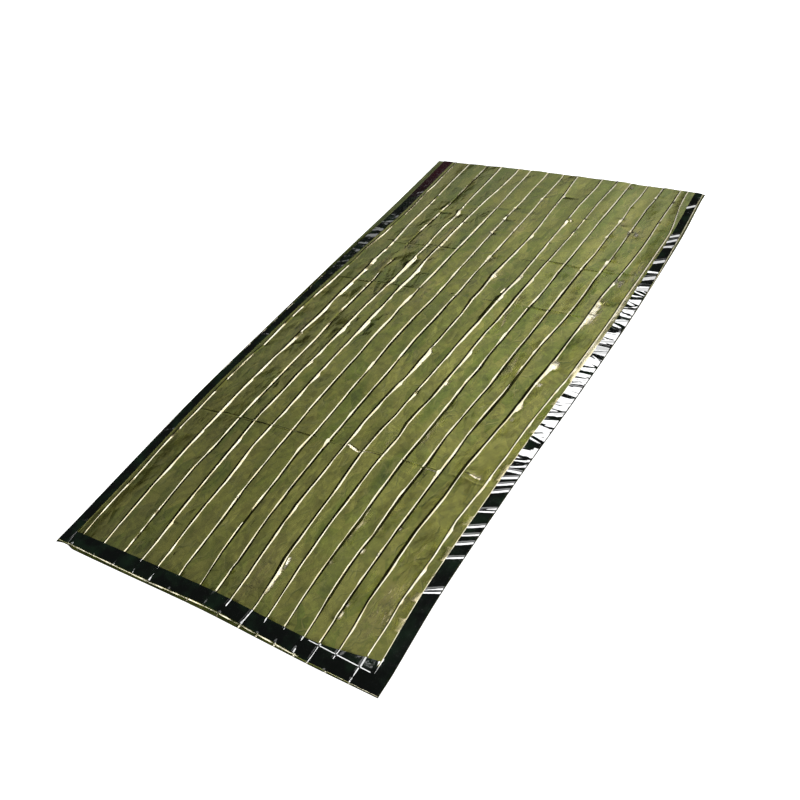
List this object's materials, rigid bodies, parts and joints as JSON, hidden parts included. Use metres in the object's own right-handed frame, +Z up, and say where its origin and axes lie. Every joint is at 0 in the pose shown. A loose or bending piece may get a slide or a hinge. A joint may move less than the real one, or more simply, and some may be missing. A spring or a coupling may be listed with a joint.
{
  "type": "emergency sleeping bag",
  "caption": "Thin film emergency sleeping bag opened out flat and creased from its pack, taped shut down both sides and across the foot, open at the head.",
  "frame": {"origin": "centre of the bag's box, on the ground", "axes": "+X across the bag, +Y from the sealed foot to the open head, +Z up"},
  "size_m": [1.068, 1.986, 0.0193],
  "materials": {
    "olive_film": "satin metallised olive film",
    "back_film": "satin metallised olive film",
    "seal_tape": "high-gloss black-green film"
  },
  "bodies": {
    "root": {"back_panel": "back_film", "front_panel": "olive_film", "foot_seal_tape": "seal_tape", "left_seal_tape": "seal_tape", "right_seal_tape": "seal_tape"}
  },
  "joints": []
}
